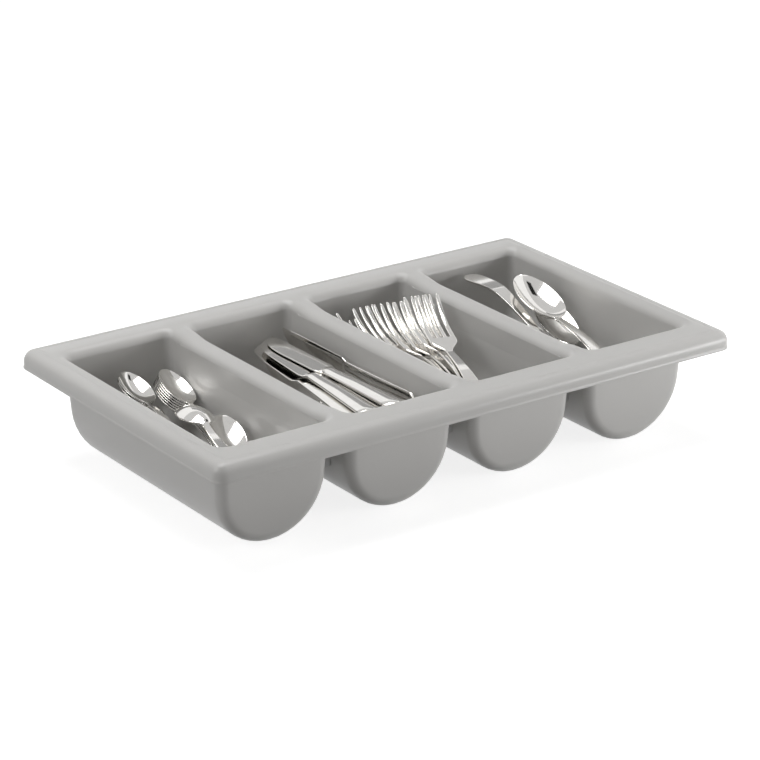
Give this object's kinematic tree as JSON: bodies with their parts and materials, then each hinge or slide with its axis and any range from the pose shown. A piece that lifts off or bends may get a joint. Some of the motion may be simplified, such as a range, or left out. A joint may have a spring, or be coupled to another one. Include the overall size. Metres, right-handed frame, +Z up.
{
  "type": "cutlery tray",
  "caption": "Light grey moulded tray with side by side half-round compartments under one rolled rim, filled with teaspoons, table knives, forks and tablespoons.",
  "frame": {"origin": "on the surface that the troughs rest on, under the middle of the tray", "axes": "+X along the long side to the tablespoons, +Y to the back where bowls, blades and tines lie, +Z up"},
  "size_m": [0.53, 0.325, 0.1042],
  "materials": {
    "tray_plastic": "light grey, fine satin grain",
    "cutlery_steel": "polished stainless with fine wipe marks"
  },
  "bodies": {
    "tray": {"tray": "tray_plastic"},
    "teaspoon_1": {"teaspoon_1": "cutlery_steel"},
    "teaspoon_2": {"teaspoon_2": "cutlery_steel"},
    "teaspoon_3": {"teaspoon_3": "cutlery_steel"},
    "teaspoon_4": {"teaspoon_4": "cutlery_steel"},
    "teaspoon_5": {"teaspoon_5": "cutlery_steel"},
    "teaspoon_6": {"teaspoon_6": "cutlery_steel"},
    "teaspoon_7": {"teaspoon_7": "cutlery_steel"},
    "teaspoon_8": {"teaspoon_8": "cutlery_steel"},
    "teaspoon_9": {"teaspoon_9": "cutlery_steel"},
    "teaspoon_10": {"teaspoon_10": "cutlery_steel"},
    "teaspoon_11": {"teaspoon_11": "cutlery_steel"},
    "teaspoon_12": {"teaspoon_12": "cutlery_steel"},
    "teaspoon_13": {"teaspoon_13": "cutlery_steel"},
    "teaspoon_14": {"teaspoon_14": "cutlery_steel"},
    "knife_1": {"knife_1": "cutlery_steel"},
    "knife_2": {"knife_2": "cutlery_steel"},
    "knife_3": {"knife_3": "cutlery_steel"},
    "knife_4": {"knife_4": "cutlery_steel"},
    "knife_5": {"knife_5": "cutlery_steel"},
    "knife_6": {"knife_6": "cutlery_steel"},
    "knife_7": {"knife_7": "cutlery_steel"},
    "knife_8": {"knife_8": "cutlery_steel"},
    "knife_9": {"knife_9": "cutlery_steel"},
    "fork_1": {"fork_1": "cutlery_steel"},
    "fork_2": {"fork_2": "cutlery_steel"},
    "fork_3": {"fork_3": "cutlery_steel"},
    "fork_4": {"fork_4": "cutlery_steel"},
    "fork_5": {"fork_5": "cutlery_steel"},
    "fork_6": {"fork_6": "cutlery_steel"},
    "fork_7": {"fork_7": "cutlery_steel"},
    "fork_8": {"fork_8": "cutlery_steel"},
    "fork_9": {"fork_9": "cutlery_steel"},
    "fork_10": {"fork_10": "cutlery_steel"},
    "fork_11": {"fork_11": "cutlery_steel"},
    "tablespoon_1": {"tablespoon_1": "cutlery_steel"},
    "tablespoon_2": {"tablespoon_2": "cutlery_steel"},
    "tablespoon_3": {"tablespoon_3": "cutlery_steel"},
    "tablespoon_4": {"tablespoon_4": "cutlery_steel"},
    "tablespoon_5": {"tablespoon_5": "cutlery_steel"}
  },
  "joints": [
    {"name": "teaspoon_1_lift", "type": "slide", "parent": "tray", "child": "teaspoon_1", "axis": [0, 0, 1], "range_m": [0, 0.112]},
    {"name": "teaspoon_2_lift", "type": "slide", "parent": "teaspoon_1", "child": "teaspoon_2", "axis": [0, 0, 1], "range_m": [0, 0.112]},
    {"name": "teaspoon_3_lift", "type": "slide", "parent": "teaspoon_2", "child": "teaspoon_3", "axis": [0, 0, 1], "range_m": [0, 0.112]},
    {"name": "teaspoon_4_lift", "type": "slide", "parent": "teaspoon_3", "child": "teaspoon_4", "axis": [0, 0, 1], "range_m": [0, 0.112]},
    {"name": "teaspoon_5_lift", "type": "slide", "parent": "teaspoon_4", "child": "teaspoon_5", "axis": [0, 0, 1], "range_m": [0, 0.112]},
    {"name": "teaspoon_6_lift", "type": "slide", "parent": "teaspoon_5", "child": "teaspoon_6", "axis": [0, 0, 1], "range_m": [0, 0.112]},
    {"name": "teaspoon_7_lift", "type": "slide", "parent": "teaspoon_6", "child": "teaspoon_7", "axis": [0, 0, 1], "range_m": [0, 0.112]},
    {"name": "teaspoon_8_lift", "type": "slide", "parent": "teaspoon_7", "child": "teaspoon_8", "axis": [0, 0, 1], "range_m": [0, 0.112]},
    {"name": "teaspoon_9_lift", "type": "slide", "parent": "teaspoon_8", "child": "teaspoon_9", "axis": [0, 0, 1], "range_m": [0, 0.112]},
    {"name": "teaspoon_10_lift", "type": "slide", "parent": "teaspoon_9", "child": "teaspoon_10", "axis": [0, 0, 1], "range_m": [0, 0.112]},
    {"name": "teaspoon_11_lift", "type": "slide", "parent": "teaspoon_10", "child": "teaspoon_11", "axis": [0, 0, 1], "range_m": [0, 0.112]},
    {"name": "teaspoon_12_lift", "type": "slide", "parent": "teaspoon_11", "child": "teaspoon_12", "axis": [0, 0, 1], "range_m": [0, 0.112]},
    {"name": "teaspoon_13_lift", "type": "slide", "parent": "teaspoon_12", "child": "teaspoon_13", "axis": [0, 0, 1], "range_m": [0, 0.112]},
    {"name": "teaspoon_14_lift", "type": "slide", "parent": "teaspoon_13", "child": "teaspoon_14", "axis": [0, 0, 1], "range_m": [0, 0.112]},
    {"name": "knife_1_lift", "type": "slide", "parent": "tray", "child": "knife_1", "axis": [0, 0, 1], "range_m": [0, 0.112]},
    {"name": "knife_2_lift", "type": "slide", "parent": "knife_1", "child": "knife_2", "axis": [0, 0, 1], "range_m": [0, 0.112]},
    {"name": "knife_3_lift", "type": "slide", "parent": "knife_2", "child": "knife_3", "axis": [0, 0, 1], "range_m": [0, 0.112]},
    {"name": "knife_4_lift", "type": "slide", "parent": "knife_3", "child": "knife_4", "axis": [0, 0, 1], "range_m": [0, 0.112]},
    {"name": "knife_5_lift", "type": "slide", "parent": "knife_4", "child": "knife_5", "axis": [0, 0, 1], "range_m": [0, 0.112]},
    {"name": "knife_6_lift", "type": "slide", "parent": "knife_5", "child": "knife_6", "axis": [0, 0, 1], "range_m": [0, 0.112]},
    {"name": "knife_7_lift", "type": "slide", "parent": "knife_6", "child": "knife_7", "axis": [0, 0, 1], "range_m": [0, 0.112]},
    {"name": "knife_8_lift", "type": "slide", "parent": "knife_7", "child": "knife_8", "axis": [0, 0, 1], "range_m": [0, 0.112]},
    {"name": "knife_9_lift", "type": "slide", "parent": "knife_8", "child": "knife_9", "axis": [0, 0, 1], "range_m": [0, 0.112]},
    {"name": "fork_1_lift", "type": "slide", "parent": "tray", "child": "fork_1", "axis": [0, 0, 1], "range_m": [0, 0.112]},
    {"name": "fork_2_lift", "type": "slide", "parent": "fork_1", "child": "fork_2", "axis": [0, 0, 1], "range_m": [0, 0.112]},
    {"name": "fork_3_lift", "type": "slide", "parent": "fork_2", "child": "fork_3", "axis": [0, 0, 1], "range_m": [0, 0.112]},
    {"name": "fork_4_lift", "type": "slide", "parent": "fork_3", "child": "fork_4", "axis": [0, 0, 1], "range_m": [0, 0.112]},
    {"name": "fork_5_lift", "type": "slide", "parent": "fork_4", "child": "fork_5", "axis": [0, 0, 1], "range_m": [0, 0.112]},
    {"name": "fork_6_lift", "type": "slide", "parent": "fork_5", "child": "fork_6", "axis": [0, 0, 1], "range_m": [0, 0.112]},
    {"name": "fork_7_lift", "type": "slide", "parent": "fork_6", "child": "fork_7", "axis": [0, 0, 1], "range_m": [0, 0.112]},
    {"name": "fork_8_lift", "type": "slide", "parent": "fork_7", "child": "fork_8", "axis": [0, 0, 1], "range_m": [0, 0.112]},
    {"name": "fork_9_lift", "type": "slide", "parent": "fork_8", "child": "fork_9", "axis": [0, 0, 1], "range_m": [0, 0.112]},
    {"name": "fork_10_lift", "type": "slide", "parent": "fork_9", "child": "fork_10", "axis": [0, 0, 1], "range_m": [0, 0.112]},
    {"name": "fork_11_lift", "type": "slide", "parent": "fork_10", "child": "fork_11", "axis": [0, 0, 1], "range_m": [0, 0.112]},
    {"name": "tablespoon_1_lift", "type": "slide", "parent": "tray", "child": "tablespoon_1", "axis": [0, 0, 1], "range_m": [0, 0.112]},
    {"name": "tablespoon_2_lift", "type": "slide", "parent": "tablespoon_1", "child": "tablespoon_2", "axis": [0, 0, 1], "range_m": [0, 0.112]},
    {"name": "tablespoon_3_lift", "type": "slide", "parent": "tablespoon_2", "child": "tablespoon_3", "axis": [0, 0, 1], "range_m": [0, 0.112]},
    {"name": "tablespoon_4_lift", "type": "slide", "parent": "tablespoon_3", "child": "tablespoon_4", "axis": [0, 0, 1], "range_m": [0, 0.112]},
    {"name": "tablespoon_5_lift", "type": "slide", "parent": "tablespoon_4", "child": "tablespoon_5", "axis": [0, 0, 1], "range_m": [0, 0.112]}
  ]
}
